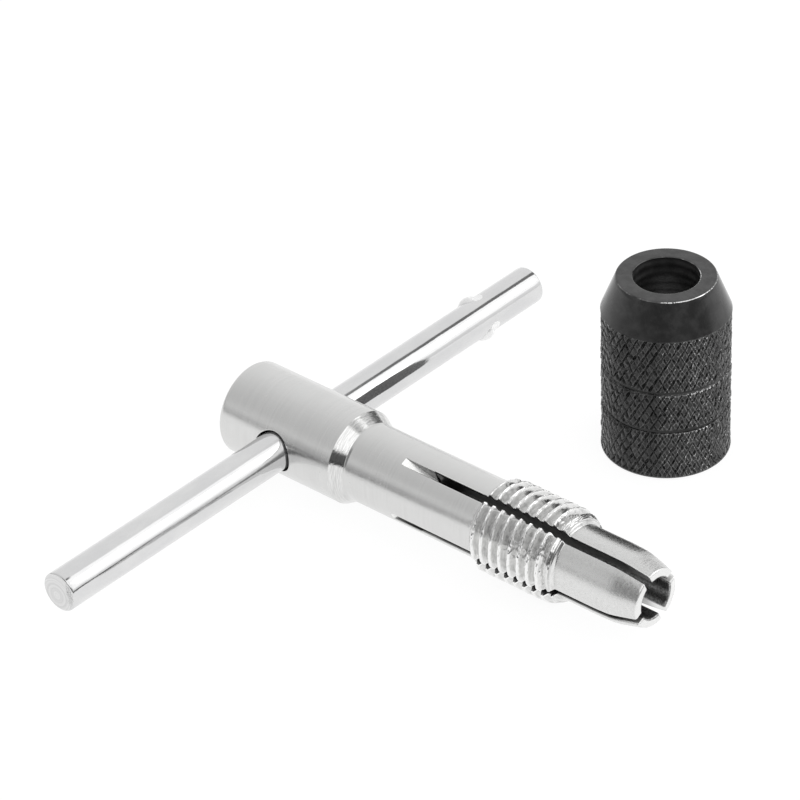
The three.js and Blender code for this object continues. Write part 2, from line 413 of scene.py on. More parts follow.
def sawn_steel():
    """The walls of the saw cuts, dull, darkened inside by stains and painted shade, and lightened towards
    the tip by painted light.
    """
    material, nodes = start_material("sawn_steel")
    place = nodes.place()
    marks = nodes.noise(place, (2.2, 2.2, 2.2), 4.0)
    stain_and_shade = nodes.noise(place, (0.5, 0.8, 0.8), 3.0)
    x = nodes.add("ShaderNodeSeparateXYZ", {0: place}).outputs[0]
    # dark grey inside the cuts: stains, and painted shade where the walls are hidden from light
    tone = nodes.mix(nodes.span(stain_and_shade, 0.35, 0.7), grey(0.22), grey(0.36, 0.005))
    # painted light: lighter towards the tip, where the cuts open
    lit_near_tip = nodes.span(x, BACK_X + LENGTH - 4, BACK_X + LENGTH - 1)
    tone = nodes.mix(lit_near_tip, tone, grey(0.82, 0.005))
    return finish_material(material, nodes, {
        "Base Color": tone, "Metallic": 1.0, "Roughness": 0.32, "Normal": nodes.bump(marks, 0.015)})


def bored_steel():
    """The bore of the collet, dull and pitted, with the drill's rings. Its dark grey is painted shade in the
    bore as well as the steel's own tone.
    """
    material, nodes = start_material("bored_steel")
    place = nodes.place()
    rings = nodes.noise(place, (3.0, 0.3, 0.3), 3.0)
    pits = nodes.noise(place, (5.0, 5.0, 5.0), 3.0)
    # dark grey: pitted steel, and painted shade inside the bore
    tone = nodes.mix(nodes.span(pits, 0.35, 0.65), grey(0.20), grey(0.46))
    return finish_material(material, nodes, {
        "Base Color": tone, "Metallic": 1.0, "Roughness": 0.30,
        "Normal": nodes.bump(rings, 0.012, nodes.bump(pits, 0.015))})


def ramp_steel():
    """The bright floor that the round saw leaves where a cut begins."""
    material, nodes = start_material("ramp_steel")
    place = nodes.place()
    marks = nodes.noise(place, (1.0, 7.0, 7.0), 3.0)
    tone = nodes.mix(nodes.span(marks, 0.3, 0.7), grey(0.84, 0.01), grey(0.94, 0.01))
    return finish_material(material, nodes, {
        "Base Color": tone, "Metallic": 0.8, "Roughness": 0.3, "Normal": nodes.bump(marks, 0.004)})


def bar_chrome():
    """Bright drawn bar, polished along its length. The ears are duller, and their pinch marks white: a
    painted highlight over the pinch mark.
    """
    material, nodes = start_material("bar_chrome")
    place = nodes.place()
    drawn = nodes.noise(place, (4.0, 0.20, 4.0), 5.0, 0.6)
    haze = nodes.noise(place, (0.5, 0.2, 0.5), 4.0)
    wear_and_highlight = nodes.add("ShaderNodeAttribute", attribute_name="wear_and_highlight").outputs["Fac"]
    tone = nodes.mix(nodes.span(haze, 0.35, 0.7), (0.695, 0.695, 0.70), grey(0.74))
    # painted highlight: the pinch marks are made white; the domes lighter and duller
    tone = nodes.mix(nodes.span(wear_and_highlight, 0.3, 0.9), tone, grey(0.98))
    rough = nodes.span(haze, 0.3, 0.7, 0.04, 0.07)
    rough = nodes.maths("ADD", rough, nodes.maths("MULTIPLY", wear_and_highlight, 0.5))
    return finish_material(material, nodes, {
        "Base Color": tone, "Metallic": 0.84, "Roughness": rough, "Normal": nodes.bump(drawn, 0.005)})


def faced_chrome():
    """The bar's ends, faced in a lathe, with rings a little off the middle and torn at one side."""
    material, nodes = start_material("faced_chrome")
    place = nodes.place()
    x, _, z = nodes.add("ShaderNodeSeparateXYZ", {0: place}).outputs
    across = nodes.maths("SUBTRACT", x, BAR_X - 0.4)
    rise = nodes.maths("SUBTRACT", z, AXIS_Z - 0.6)
    square = nodes.maths("ADD", nodes.maths("MULTIPLY", across, across), nodes.maths("MULTIPLY", rise, rise))
    rings = nodes.maths("MULTIPLY", nodes.maths("SQRT", square), 3.6)
    inputs = {"W": rings, "Scale": 1.0, "Detail": 3.0}
    lines = nodes.add("ShaderNodeTexNoise", inputs, noise_dimensions="1D").outputs["Fac"]
    side = nodes.maths("MULTIPLY", nodes.span(across, 1.2, 2.4), nodes.span(rise, -1.2, 0.2))
    rough_cut = nodes.maths("SUBTRACT", lines, nodes.noise(place, (3.0, 3.0, 3.0)))
    torn = nodes.maths("MULTIPLY", side, rough_cut)
    tone = nodes.mix(nodes.span(lines, 0.35, 0.65), grey(0.62), grey(0.72))
    marks = nodes.bump(lines, 0.014, nodes.bump(torn, 0.35))
    return finish_material(material, nodes, {
        "Base Color": tone, "Metallic": 1.0, "Roughness": 0.12, "Normal": marks})


def black_oxide(name, dull):
    """Blacked steel, greyer where it is a little worn, and bright bare metal where the wear is high: worn
    through, and painted highlights on the nut's edges. dull is its roughness."""
    material, nodes = start_material(name)
    place = nodes.place()
    pits = nodes.noise(place, (5.0, 5.0, 5.0), 4.0, 0.65)
    stains = nodes.noise(place, (0.7, 0.7, 0.7), 3.0)
    turning = nodes.noise(place, (0.2, 0.2, 7.0), 3.0)
    wear_and_highlight = nodes.add("ShaderNodeAttribute", attribute_name="wear_and_highlight").outputs["Fac"]
    tone = nodes.mix(nodes.span(pits, 0.45, 0.75), grey(0.002), grey(0.006))
    tone = nodes.mix(nodes.span(stains, 0.4, 0.7), tone, grey(0.009))
    # bare bright metal: wear, and painted highlights and glints on the edges
    ragged_wear_and_glint = nodes.maths("ADD", wear_and_highlight, nodes.maths("MULTIPLY", nodes.maths("SUBTRACT", pits, 0.5), 1.6))
    bare_and_glint = nodes.span(ragged_wear_and_glint, 0.5, 0.8)
    thin = nodes.mix(nodes.span(stains, 0.35, 0.65), grey(0.24), grey(0.36))
    tone = nodes.mix(nodes.span(wear_and_highlight, 0.0, 0.5, 0.0, 0.35), tone, thin)
    tone = nodes.mix(bare_and_glint, tone, grey(0.78))
    rough = nodes.span(pits, 0.3, 0.7, dull, dull + 0.10)
    marks = nodes.bump(turning, 0.003, nodes.bump(pits, 0.06 * dull))
    return finish_material(material, nodes, {
        "Base Color": tone, "Metallic": bare_and_glint, "Roughness": rough, "Normal": marks,
        "Specular IOR Level": 0.38})


# ---- spindle and jaws ----
def blank_radius(x):
    """Radius of the turned blank, thread apart, at station x."""
    back = HEAD_EDGE - np.clip(x, 0, HEAD_EDGE)
    head = HEAD_R - HEAD_EDGE + np.sqrt(np.maximum(HEAD_EDGE**2 - back**2, 0))
    taper = (x - HEAD_END) / (SHOULDER_MID - HEAD_END)
    cone = HEAD_R + (SHOULDER_R - HEAD_R) * np.clip(taper, 0, 1)
    radius = np.where(x > HEAD_END, cone, head)
    radius = radius + (SHANK_R - SHOULDER_R) * smooth(SHOULDER_MID, SHOULDER_END, x)
    radius = radius + (ROOT_R - SHANK_R) * smooth(THREAD_START, THREAD_START + THREAD_CHAMFER / 2, x)
    radius = radius + (NOSE_R - ROOT_R) * smooth(THREAD_END, NOSE_START, x)
    past = x - TAPER_START
    run = (past + np.sqrt(past**2 + 0.8)) / 2 * smooth(TAPER_START - 3, TAPER_START - 1, x)
    return radius - (NOSE_R - TIP_R) * run / (LENGTH - TAPER_START)


def thread_radius(x, angle, rim):
    """Radius over the worn right-hand thread, and how near its crest each point is.
    rim is the distance to the nearer saw cut."""
    turns = (x - CREST_AT) / PITCH - (angle + 90) / 360
    crest = np.round(turns)
    off = np.abs(turns - crest) * 2
    rise = 1 - np.clip((off - TOOTH_FLAT) / TOOTH_FLANK, 0, 1)
    ends = 1 - smooth(THREAD_START, THREAD_START + 2.2, x) + smooth(THREAD_END - 2.6, THREAD_END - 0.8, x)
    away = ((x - GALLED_AT[0]) / GALLED_REACH[0]) ** 2 + ((angle - GALLED_AT[1]) / GALLED_REACH[1]) ** 2
    galled = np.clip(ends + 1.4 * np.exp(-away), 0, 1.4)
    burr = grain(crest * 3.7 + off * 6 + 20, angle / 5 + 64, 5)
    nicks = grain(x * 9, angle / 2 + 64, 9)
    tears = grain(x * 5.5, angle / 3.5 + 64, 31)
    fold = 0.07 * (1 - np.clip(off / 0.10, 0, 1)) * (1 + burr)
    nick = (0.01 + 0.05 * galled) * np.maximum(nicks, 0)
    top = CREST_R - fold - (0.015 + 0.06 * galled) * (1 + burr) - nick
    cut = ROOT_R + (top - ROOT_R) * rise
    cut = cut + tears * (0.012 + 0.075 * galled) * (rise > 0) * (rise < 0.95)
    cut = cut - 0.16 * rise * (1 - smooth(0.0, 0.7, rim)) ** 2
    fall = (CREST_R - ROOT_R) / THREAD_LEAD
    lead = ROOT_R + 0.16 + fall * np.maximum(THREAD_END - x, 0)
    chamfer = ROOT_R - 0.1 + (x - THREAD_START) * (CREST_R - ROOT_R + 0.1) / THREAD_CHAMFER
    radius = np.minimum(cut, np.minimum(lead + 0.03 * burr, chamfer + 0.03 * tears))
    plain = blank_radius(x)
    radius = np.clip(radius, plain, CREST_R)
    crown = np.maximum(smooth(0.7, 1.0, rise), 0.7 * np.maximum(tears - 0.2, 0) * galled)
    return radius, crown * smooth(0.1, 0.4, radius - plain)


def saw_floor(x):
    """Height above the axis of the floor of a saw cut at station x."""
    centre = SLOT_START + math.sqrt(SAW_R**2 - (SAW_R - SHANK_R) ** 2)
    return SAW_R - np.sqrt(np.maximum(SAW_R**2 - (centre - x) ** 2, 0))


def turned(angle, side, along):
    """Points at side across and along outwards from the axis, with along turned to angle."""
    a = np.radians(angle)
    return along * np.cos(a) - side * np.sin(a), along * np.sin(a) + side * np.cos(a)


def spindle_section(x):
    """Points round the spindle at station x: four saw cuts, and an arc after each."""
    radius = float(blank_radius(np.array(x)))
    floor = float(saw_floor(np.array(x)))
    ys = []
    zs = []
    for k in range(JAWS):
        angle = SLOT_ANGLE + 90 * k
        for side, share in zip(CUT_SIDES, CUT_SHARE):
            along = math.sqrt(radius**2 - side**2)
            if share is not None and floor < along:
                wall = max(along - SLOT_EDGE, floor)
                along = floor + (wall - floor) * share
            y, z = turned(angle, side, along)
            ys.append(y)
            zs.append(z)
        edge = math.degrees(math.asin(CUT_SIDES[-1] / radius))
        for t in np.arange(1, ARC_COLUMNS) / ARC_COLUMNS:
            bearing = math.radians(angle + edge + t * (90 - 2 * edge))
            ys.append(radius * math.cos(bearing))
            zs.append(radius * math.sin(bearing))
    return np.stack([np.full(len(ys), x), np.array(ys), np.array(zs)], -1)


def hole_patch(points, loop, sign):
    """Rings from a gap in the head, whose rim is the points in loop, to the cross hole and over its edge."""
    rim = points[loop]
    bearing = np.arctan2(rim[:, 2], rim[:, 0] - HOLE_AT)
    rings = [loop]
    new = []
    first = len(points)
    reach = HOLE_R + HOLE_EDGE
    for share in GAP_SHARES:
        x = (HOLE_AT + reach * np.cos(bearing)) * (1 - share) + rim[:, 0] * share
        z = reach * np.sin(bearing) * (1 - share) + rim[:, 2] * share
        y = sign * np.sqrt(HEAD_R**2 - z**2)
        new.append(np.stack([x, y, z], -1))
    for turn in ROUNDING:
        inward = HOLE_EDGE * (1 - math.sin(math.radians(turn)))
        depth = HOLE_EDGE * (1 - math.cos(math.radians(turn)))
        x = HOLE_AT + (HOLE_R + inward) * np.cos(bearing)
        z = (HOLE_R + inward) * np.sin(bearing)
        y = sign * (np.sqrt(HEAD_R**2 - z**2) - depth)
        new.append(np.stack([x, y, z], -1))
    for k in range(len(new)):
        rings.append([first + k * len(loop) + j for j in range(len(loop))])
    return np.concatenate([points, *new]), rings


def ring_faces(rings):
    """Faces between rings of indexes that go all the way round."""
    faces = []
    for one, two in zip(rings, rings[1:]):
        for j in range(len(one)):
            k = (j + 1) % len(one)
            faces.append((one[j], one[k], two[k], two[j]))
    return faces


def spindle_stations():
    """Where the spindle's sections lie. They are closest at its edges and where the cuts start."""
    edge = HEAD_EDGE - HEAD_EDGE * np.cos(np.linspace(0.15, math.pi / 2, 8))
    return np.concatenate([edge, stations(
        (1.2, HOLE_AT - GAP_REACH, 0.7),
        (HOLE_AT - GAP_REACH, HOLE_AT + GAP_REACH, 0.5),
        (HOLE_AT + GAP_REACH, HEAD_END - 0.1, 0.7),
        (HEAD_END - 0.1, HEAD_END, 0.05),
        (HEAD_END, SHOULDER_MID, 0.1),
        (SHOULDER_MID, SHOULDER_END + 0.2, 0.06),
        (SHOULDER_END + 0.2, SLOT_START - 0.1, 0.7),
        (SLOT_START - 0.1, SLOT_START + 0.3, 0.02),
        (SLOT_START + 0.3, JAW_SEAM, 0.15))])


def gap_columns(section, centre):
    """Columns of a section that meet the gap for the cross hole, on the side of the head at centre."""
    columns = len(section)
    bearings = np.degrees(np.arctan2(section[:, 2], section[:, 1]))
    inside = np.abs((bearings - centre + 180) % 360 - 180) < GAP_SPREAD
    start = next(j for j in range(columns) if inside[j] and not inside[j - 1])
    return [(start + k) % columns for k in range(int(inside.sum()))]


def spindle_kind(place, start, end):
    """The material of a face at this place in its quarter of the spindle, between two stations."""
    if end > SLOT_START and 1 <= place < len(CUT_SIDES) - 2:
        return RAMP if place in FLOOR_PLACES else SAWN
    return SHOULDER if HEAD_END <= (start + end) / 2 <= SHOULDER_MID else STEEL


def hole_wall(points, rims):
    """The wall of the cross hole: triangles between its two rims, joined where their bearings are near."""
    turns = []
    rings = []
    for rim in rims:
        bearing = np.arctan2(points[rim][:, 2], points[rim][:, 0] - HOLE_AT)
        order = np.argsort(bearing)
        rings.append([rim[k] for k in order])
        turns.append(np.append(bearing[order], bearing[order[0]] + 2 * math.pi))
    one, two = rings
    first, second = turns
    faces = []
    i = 0
    j = 0
    while i < len(one) or j < len(two):
        if j == len(two) or (i < len(one) and first[i + 1] < second[j + 1]):
            faces.append((one[i], one[(i + 1) % len(one)], two[j % len(two)]))
            i += 1
        else:
            faces.append((one[i % len(one)], two[(j + 1) % len(two)], two[j]))
            j += 1
    return faces


def blind_bore(points, first, columns):
    """The bore behind the jaws, from the ring of points that starts at index first, to its drill point."""
    ring = points[first:first + columns]
    bearing = np.arctan2(ring[:, 2], ring[:, 1])
    rings = [list(range(first, first + columns))]
    for x, radius in ((ring[0, 0], BLIND_BORE_R), (BORE_END, BLIND_BORE_R), (BORE_END - DRILL_POINT, 0.05)):
        start = len(points)
        circle = [np.full(columns, x), radius * np.cos(bearing), radius * np.sin(bearing)]
        points = np.concatenate([points, np.stack(circle, -1)])
        rings.append([start + j for j in range(columns)])
    faces = ring_faces(rings)
    faces.append(tuple(rings[-1]))
    return points, faces


def build_spindle(materials):
    """Head, shoulder and shank, with the cross hole, the blind bore and the start of each cut."""
    xs = spindle_stations()
    sections = [spindle_section(x) for x in xs]
    columns = len(sections[0])
    points = np.concatenate(sections)
    low = int(np.argmin(np.abs(xs - (HOLE_AT - GAP_REACH))))
    high = int(np.argmin(np.abs(xs - (HOLE_AT + GAP_REACH))))
    gaps = {1: gap_columns(sections[0], 0.0), -1: gap_columns(sections[0], 180.0)}
    in_gap = {j for gap in gaps.values() for j in gap[:-1]}
    faces = []
    kinds = []
    for i in range(len(xs) - 1):
        for j in range(columns):
            if low <= i < high and j in in_gap:
                continue
            one = i * columns + j
            two = i * columns + (j + 1) % columns
            faces.append((one, two, two + columns, one + columns))
            kinds.append(spindle_kind(j % (columns // JAWS), xs[i], xs[i + 1]))
    rims = []
    for sign, gap in gaps.items():
        loop = [low * columns + j for j in gap]
        loop += [i * columns + gap[-1] for i in range(low + 1, high + 1)]
        loop += [high * columns + j for j in reversed(gap[:-1])]
        loop += [i * columns + gap[0] for i in range(high - 1, low, -1)]
        points, rings = hole_patch(points, loop, sign)
        faces += ring_faces(rings)
        rims.append(rings[-1])
    faces += hole_wall(points, rims)
    kinds += [STEEL] * (len(faces) - len(kinds))
    points, bore_faces = blind_bore(points, (len(xs) - 1) * columns, columns)
    faces += bore_faces
    kinds += [SAWN] * len(bore_faces)
    faces.append(tuple(range(columns)))
    kinds.append(STEEL)
    points = points + np.array([BACK_X, 0, AXIS_Z])
    faces = [tuple(int(v) for v in face) for face in faces]
    return mesh_object("spindle_body", points, faces, materials, kinds, sharp=16.0)


def jaw_section(x, start_angle, inset=0.0):
    """Points round one jaw at station x, with how worn each is and where highlights are painted. inset pulls
    them in at the tip.
    """
    blank = float(blank_radius(np.array(x)))
    edge = math.degrees(math.asin((CUT_SIDES[-1] + inset) / max(blank, 0.1)))
    share = np.linspace(0, 1, JAW_COLUMNS)
    angles = start_angle + edge + share * (90 - 2 * edge)
    rim = np.minimum(share, 1 - share) * math.radians(90 - 2 * edge) * blank
    if THREAD_START <= x <= THREAD_END:
        radius, rise = thread_radius(np.full(JAW_COLUMNS, x), angles, rim)
    else:
        radius = np.full(JAW_COLUMNS, blank)
        rise = np.zeros(JAW_COLUMNS)
    radius = radius - inset
    turn = np.radians(angles)
    outer = np.stack([radius * np.cos(turn), radius * np.sin(turn)], -1)
    bore = BORE_R + inset
    side = SLOT_HALF + inset
    low = math.sqrt(bore**2 - side**2)
    falls = np.linspace(0, 1, WALL_ROWS, endpoint=False)
    walls = []
    for end, angle, sign in ((-1, start_angle + 90, -1), (0, start_angle, 1)):
        top = math.sqrt(radius[end] ** 2 - side**2) - SLOT_EDGE
        y, z = turned(angle, sign * side, top + (low - top) * falls)
        walls.append(np.stack([y, z], -1))
    narrow = math.degrees(math.asin(side / bore))
    inner_turn = np.radians(np.linspace(start_angle + 90 - narrow, start_angle + narrow, BORE_COLUMNS))
    inner = np.stack([bore * np.cos(inner_turn), bore * np.sin(inner_turn)], -1)
    loop = np.concatenate([outer, walls[0], inner, walls[1][::-1]])
    wear_and_highlight = np.zeros(len(loop))
    wear_and_highlight[:JAW_COLUMNS] = rise * 0.8
    # the slot edges are set fully worn: a painted highlight along each edge
    wear_and_highlight[[0, JAW_COLUMNS - 1, JAW_COLUMNS, -1]] = 1
    return np.concatenate([np.full((len(loop), 1), x), loop], 1), wear_and_highlight


def build_jaw(name, start_angle, materials):
    """One jaw of the collet, threaded outside and bored inside."""
    xs = stations((JAW_SEAM, THREAD_START, 0.5), (THREAD_START, NOSE_START + 0.1, 0.045),
                  (NOSE_START + 0.1, TAPER_START, 0.4), (TAPER_START, LENGTH - TIP_EDGE, 0.15))
    rows = [jaw_section(x, start_angle) for x in xs]
    for turn in ROUNDING:
        forward = TIP_EDGE * math.sin(math.radians(turn))
        inset = TIP_EDGE * (1 - math.cos(math.radians(turn)))
        section, wear_and_highlight = jaw_section(LENGTH - TIP_EDGE + forward, start_angle, inset)
        # the rounded tip edge is lightened: painted highlight
        rows.append((section, np.maximum(wear_and_highlight, 0.6)))
    points = np.concatenate([row[0] for row in rows])
    wear_and_highlight = np.concatenate([row[1] for row in rows])
    columns = len(rows[0][0])
    faces = grid_faces(len(rows), columns)
    column = np.arange(len(faces)) % columns
    bore_start = JAW_COLUMNS + WALL_ROWS
    in_bore = (column >= bore_start - 1) & (column < bore_start + BORE_COLUMNS)
    on_wall = (column >= JAW_COLUMNS) & (column < columns - 1)
    row_x = np.repeat(points[::columns, 0][:-1], columns)
    threaded = (row_x > THREAD_START + 0.2) & (row_x < NOSE_START - 0.1)
    outside = np.where(threaded, THREADED, np.where(row_x > THREAD_START, NOSE, STEEL))
    kinds = np.where(in_bore, BORED, np.where(on_wall, SAWN, outside))
    ends = end_faces(len(rows), columns)
    kinds = np.concatenate([kinds, [STEEL, NOSE]])
    points = points + np.array([BACK_X, 0, AXIS_Z])
    return mesh_object(name, points, faces + ends, materials, kinds, wear_and_highlight, 40.0)


# ---- tommy bar ----
def ears(y, angle):
    """Height over the bar of the two ears at y and at angle, and how marked the steel is there: dull on
    an ear's dome, and white in the pinch beside it, a painted highlight over the pinch mark."""
    height = np.zeros_like(y)
    marks_and_highlight = np.zeros_like(y)
    centre = BAR_END - EAR_FROM_END
    for ear, side in EARS:
        across = np.radians((angle - ear + 180) % 360 - 180) * BAR_R
        along = (y - centre) / EAR_HALF_LENGTH
        inside = np.clip(1 - (across / EAR_HALF_WIDTH) ** 2 - along**2, 0, 1)
        away = ((y - centre - PINCH_AT) / PINCH_HALF_LENGTH) ** 2
        away = away + ((across - side * PINCH_ASIDE) / PINCH_HALF_WIDTH) ** 2
        pinch = np.clip(1 - away, 0, 1)
        dome = EAR_HEIGHT * inside * (1 - smooth(0.0, 0.6, pinch))
        height = height + dome - PINCH_DEPTH * pinch
        # the pinch's white is a painted highlight
        marks_and_highlight = np.maximum(marks_and_highlight, np.maximum(smooth(1.7, 1.3, away), 0.6 * smooth(0.0, 0.2, inside)))
    return height, marks_and_highlight


def build_bar(materials):
    """The bar, with its ears and its faced ends."""
    centre = BAR_END - EAR_FROM_END
    edge = BAR_CHAMFER * (1 - np.cos(np.linspace(0, math.pi / 2, 5)))
    body = stations((-BAR_END + BAR_CHAMFER, centre - 2, 1.0), (centre - 2, centre + 2.5, 0.06),
                    (centre + 2.5, BAR_END - BAR_CHAMFER, 0.8))
    ys = np.concatenate([-BAR_END + edge[:-1], body, BAR_END - edge[:-1][::-1]])
    angles = np.linspace(0, 360, BAR_COLUMNS, endpoint=False)
    grid_y, grid_angle = np.meshgrid(ys, angles, indexing="ij")
    from_end = np.clip(BAR_END - np.abs(grid_y), 0, BAR_CHAMFER)
    chamfer = BAR_CHAMFER - np.sqrt(BAR_CHAMFER**2 - (BAR_CHAMFER - from_end) ** 2)
    height, marks_and_highlight = ears(grid_y, grid_angle)
    radius = BAR_R - chamfer + height
    turn = np.radians(grid_angle)
    x = BAR_X + radius * np.cos(turn)
    z = AXIS_Z + radius * np.sin(turn)
    points = np.stack([x, grid_y, z], -1).reshape(-1, 3)
    sides = grid_faces(len(ys), len(angles))
    faces = sides + end_faces(len(ys), len(angles))
    kinds = [DRAWN] * len(sides) + [FACED, FACED]
    obj = mesh_object("bar", points, faces, materials, kinds, marks_and_highlight)
    face_outwards(obj)
    return obj


# ---- chuck nut ----
def knurl(z, angle):
    """Depth of the diamond knurl at height z and at angle, in degrees, and how near its edges are."""
    around = angle / 360 * KNURL_COUNT
    along = z / KNURL_HEIGHT
    slope = math.hypot(KNURL_COUNT / (2 * math.pi * NUT_R), 1 / KNURL_HEIGHT)
    depth = np.zeros_like(angle)
    edges = np.zeros_like(angle)
    for direction, cut in ((-1, KNURL_DEPTH), (1, KNURL_DEPTH * 0.8)):
        turns = around + direction * along
        line = np.round(turns)
        gap = np.abs(turns - line) / slope
        strength = 0.75 + 0.25 * grain(line * 3.3 + 200, along * 1.2 + 64, 41)
        strength = strength + 0.2 * grain(line * 5.3 + 200, along * 4.3 + 64, 43)
        half = KNURL_HALF_GAP * (1 + 0.6 * grain(line * 2.7 + 90, along * 3.1 + 64, 47))
        depth = np.maximum(depth, cut * strength * (1 - np.clip((gap - 0.02) / half, 0, 1)))
        edges = np.maximum(edges, 1 - np.clip(np.abs(gap - half) / 0.06, 0, 1))
    one = np.floor(around + along)
    two = np.floor(around - along)
    level = grain(one * 5.5 + 300, two * 3.5 + 640, 17)
    lean = grain(one * 2.5 + 300, two * 7.5 + 640, 19)
    across = (around + along - one - 0.5) * lean + (around - along - two - 0.5) * level
    pits = np.maximum(grain(around * 4.1, along * 7.3 + 64, 23) - 0.25, 0)
    land = 0.06 + 0.04 * level + 0.20 * across + 0.10 * pits
    return np.maximum(depth, 0) + np.maximum(land, 0), edges


def edge_rubbing_and_highlight(angle):
    """How bright the nut's edges are made at angle, in degrees: patchy rubbed wear, and painted highlights
    that gather on one side.
    """
    toward_highlight_side = np.cos(np.radians(angle - PAINTED_HIGHLIGHT_SIDE))
    return 0.34 + 0.34 * smooth(0.2, 0.9, toward_highlight_side) + 0.28 * grain(angle / 9 + 80, angle * 0 + 64.5, 59)


def nut_profile():
    """The turned outline of the nut, knurl apart: height, radius and wear, from the base to the knurl,
    then from the knurl over the cone and down the mouth to the relief. Wear on the rounded edges is painted
    highlight as well as wear."""
    low = [(0, NUT_ENTRY_R, 0.3), (0, NUT_R - NUT_BASE_EDGE, 0.0)]
    for turn in ROUNDING[:2]:
        a = math.radians(turn)
        low.append((NUT_BASE_EDGE * (1 - math.cos(a)), NUT_R - NUT_BASE_EDGE * (1 - math.sin(a)), 0.15))
    top = NUT_HEIGHT
    high = [(NUT_CONE_START + 0.05, NUT_R - 0.02, 0.5)]
    for z in stations((NUT_CONE_START + 0.12, top - 0.12, 0.4)):
        share = (z - NUT_CONE_START) / (top - NUT_CONE_START)
        high.append((z, NUT_R + (NUT_NOSE_R - NUT_R) * share, 0.17))
    # the rims' rounded edges are given full wear: painted highlights on the edges as well as wear
    high += [
        (top - 0.07, NUT_NOSE_R + 0.01, 1.0), (top - 0.01, NUT_NOSE_R - 0.05, 1.0),
        (top, NUT_NOSE_R - 0.11, 0.2), (top, NUT_NOSE_R - 0.35, 0.22),
        (top, NUT_MOUTH_R + 0.3, 0.22), (top, NUT_MOUTH_R + 0.11, 0.2),
        (top - 0.01, NUT_MOUTH_R + 0.07, 1.1), (top - 0.06, NUT_MOUTH_R + 0.01, 1.1),
        (top - 0.12, NUT_MOUTH_R, 0.0)]
    for z in stations((top - 0.2, NUT_SEAT_START, 0.12)):
        ring = abs(((top - z) / MOUTH_RING) % 1 - 0.5) * 2
        taper = max(NUT_MOUTH_START - z, 0) / (NUT_MOUTH_START - NUT_SEAT_START)
        seat = (NUT_SEAT_R - NUT_MOUTH_R) * taper
        high.append((z, NUT_MOUTH_R + seat + MOUTH_RING_DEPTH * ring**3, 0.25 - 0.15 * ring))
    high += [(NUT_SEAT_START - 0.02, NUT_RELIEF_R, 0.0), (NUT_RELIEF_END, NUT_RELIEF_R, 0.0)]
    return low, high


def plain_rows(profile, angles):
    """Rows of the nut that are circles. Each row is a height, and a radius and wear at each angle.
    Wear over a quarter is patchy, with painted highlights gathered on one side."""
    even = np.ones(len(angles))
    rubbing_and_highlight = edge_rubbing_and_highlight(angles)
    return [(z, radius * even, highlight_and_wear * (rubbing_and_highlight if highlight_and_wear > 0.25 else even)) for z, radius, highlight_and_wear in profile]


def knurled_rows(angles):
    """Rows over the knurl and the two turned lines in it. The knurl's edges get painted highlights as well
    as wear, and the lines' lower lips painted highlights, mostly on one side.
    """
    rubbing_and_highlight = edge_rubbing_and_highlight(angles)
    rows = []
    for z in stations((NUT_BASE_EDGE, NUT_CONE_START, KNURL_HEIGHT / KNURL_STEPS)):
        fade = smooth(NUT_BASE_EDGE, NUT_BASE_EDGE + 0.3, z)
        fade = fade * (1 - smooth(NUT_CONE_START - 0.15, NUT_CONE_START, z))
        depth, edges = knurl(np.full(len(angles), z), angles)
        nearest = min(abs(z - at) for at in GROOVES_AT)
        groove = 1 - float(smooth(GROOVE_HALF * 0.5, GROOVE_HALF + 0.08, nearest))
        lip_highlight = max(float(0.0 < at - z - GROOVE_HALF * 0.6 < 0.12) for at in GROOVES_AT)
        # edges and lower lips are lightened: painted highlights, strongest on one side, with patchy wear
        highlight_and_wear = (0.08 + 0.78 * edges * rubbing_and_highlight) * (1 - groove) + 0.6 * lip_highlight * np.maximum(rubbing_and_highlight - 0.1, 0)
        rows.append((z, NUT_R - np.maximum(depth * fade, GROOVE_DEPTH * groove), highlight_and_wear))
    return rows


def thread_rows(angles):
    """Rows down the nut's thread, from its relief to its entry."""
    rows = []
    for z in stations((NUT_THREAD_END + 3.0, NUT_ENTRY_DEPTH, 0.125)):
        off = np.abs((z / PITCH - angles / 360) % 1 - 0.5) * 2
        rise = np.clip((off - 0.12) / 0.7, 0, 1)
        fade = 1 - smooth(NUT_THREAD_END - 0.5, NUT_THREAD_END + 1, z)
        radius = NUT_MAJOR_R - (NUT_MAJOR_R - NUT_MINOR_R) * rise * fade
        rows.append((z, radius, np.zeros(len(angles))))
    return rows


def build_nut(materials):
    """The nut, with a cut knurl outside, and thread, relief, seat and mouth inside."""
    columns = KNURL_COUNT * KNURL_STEPS
    angles = np.linspace(0, 360, columns, endpoint=False)
    low, high = nut_profile()
    base = plain_rows(low, angles)
    knurled = knurled_rows(angles)
    rows = base + knurled + plain_rows(high, angles) + thread_rows(angles)
    rows += plain_rows([(NUT_ENTRY_DEPTH * 0.6, NUT_ENTRY_R - 0.25, 0.0)], angles)
    heights, radii, wear_and_highlight = (np.array(part) for part in zip(*rows))
    turn = np.radians(angles)
    z = np.repeat(heights[:, None], columns, 1)
    points = np.stack([NUT_X + radii * np.cos(turn), NUT_Y + radii * np.sin(turn), z], -1).reshape(-1, 3)
    knurl_end = len(base) + len(knurled) - 1
    mouth = next(k for k in range(knurl_end + 1, len(rows)) if radii[k, 0] < NUT_MOUTH_R + 0.05)
    faces = grid_faces(len(rows), columns)
    row = np.arange(len(faces)) // columns
    kinds = np.where((row >= len(base)) & (row < knurl_end), KNURLED, BLACKED)
    kinds = np.where(row >= mouth, MOUTH, kinds)
    last = (len(rows) - 1) * columns
    for j in range(columns):
        k = (j + 1) % columns
        faces.append((last + j, last + k, k, j))
    kinds = np.append(kinds, np.full(columns, BLACKED))
    return mesh_object("nut", points, faces, materials, kinds, wear_and_highlight, 40.0)


